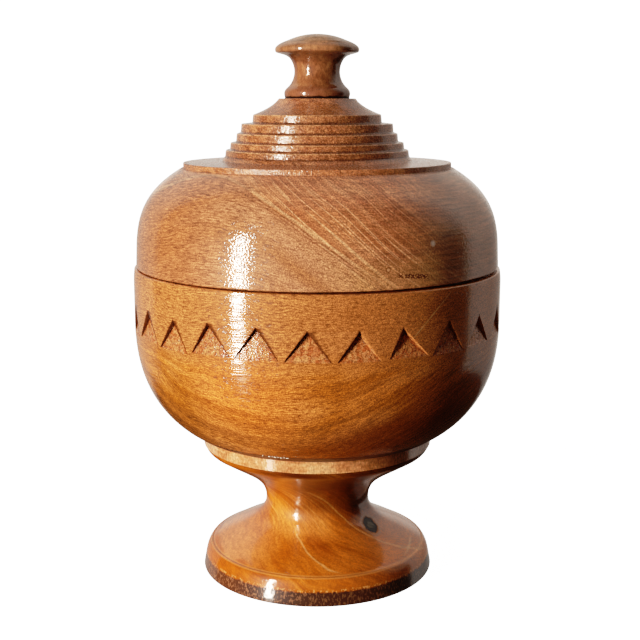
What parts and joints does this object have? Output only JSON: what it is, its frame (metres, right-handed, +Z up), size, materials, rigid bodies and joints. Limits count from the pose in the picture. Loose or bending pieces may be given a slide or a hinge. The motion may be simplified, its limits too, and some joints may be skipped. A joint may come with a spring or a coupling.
{
  "type": "lidded bowl",
  "caption": "Turned wooden bowl on a waisted pedestal foot, with a row of carved triangles and a domed, stepped lid that lifts off by a spool knob.",
  "frame": {"origin": "centre of the foot's underside, on the axis of turning", "axes": "+Z up along the axis of turning, towards the knob; -Y is the side the picture shows"},
  "size_m": [0.1808, 0.1808, 0.2668],
  "materials": {
    "pedestal_wood": "dark orange-brown hardwood, high gloss varnish",
    "collar_wood": "pale golden wood strip, gloss varnish",
    "bowl_wood": "orange-brown hardwood with open pores, gloss varnish",
    "lid_wood": "tan-brown hardwood with fine streaks, gloss varnish",
    "knob_wood": "tan-brown hardwood, gloss varnish"
  },
  "bodies": {
    "base": {"pedestal_foot": "pedestal_wood", "collar_band": "collar_wood", "bowl": "bowl_wood"},
    "lid": {"lid": "lid_wood", "knob": "knob_wood"}
  },
  "joints": [
    {"name": "lid_lift", "type": "slide", "parent": "base", "child": "lid", "axis": [0, 0, 1], "range_m": [0, 0.12]}
  ]
}
